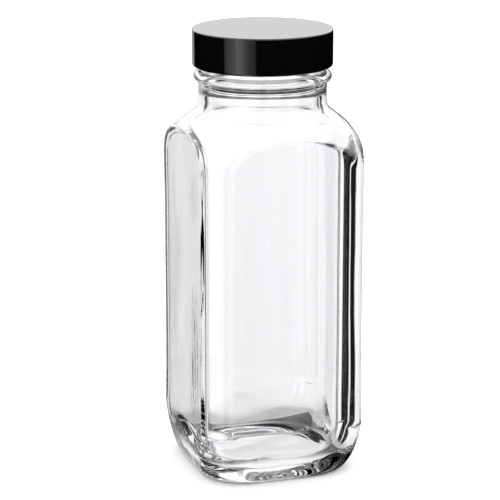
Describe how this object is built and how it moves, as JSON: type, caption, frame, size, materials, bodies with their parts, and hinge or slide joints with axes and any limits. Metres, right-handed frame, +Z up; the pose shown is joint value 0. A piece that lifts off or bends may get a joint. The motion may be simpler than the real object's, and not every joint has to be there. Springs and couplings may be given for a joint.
{
  "type": "specimen jar",
  "caption": "Tall square clear glass jar with arch-topped flat panels, a sloping shoulder, a beaded round neck and a smooth black screw cap with a sealing disc.",
  "frame": {"origin": "centre of the jar's base, in the plane that the jar stands on", "axes": "+Z up along the axis of the jar and its cap; X and Y square to the four flat panels"},
  "size_m": [0.0546, 0.0546, 0.1443],
  "materials": {
    "glass": "clear and colourless, fire polished outside, slightly wavy inside",
    "cap_plastic": "glossy black moulded side, finely matt top",
    "liner_board": "soft pulpboard",
    "liner_film": "smooth white film"
  },
  "bodies": {
    "jar": {"glass_jar": "glass"},
    "liner": {"liner_backing": "liner_board", "liner_facing": "liner_film"},
    "cap": {"screw_cap": "cap_plastic"}
  },
  "joints": [
    {"name": "cap_rise", "type": "slide", "parent": "jar", "child": "liner", "axis": [0, 0, 1], "range_m": [0, 0.0127]},
    {"name": "cap_turn", "type": "hinge", "parent": "liner", "child": "cap", "pos_m": [0, 0, 0.1383], "axis": [0, 0, 1], "range_deg": [0, 1080]}
  ],
  "couplings": [
    {"joint": "cap_rise", "follows": "cap_turn", "m_per_rad": 0.00067375}
  ]
}
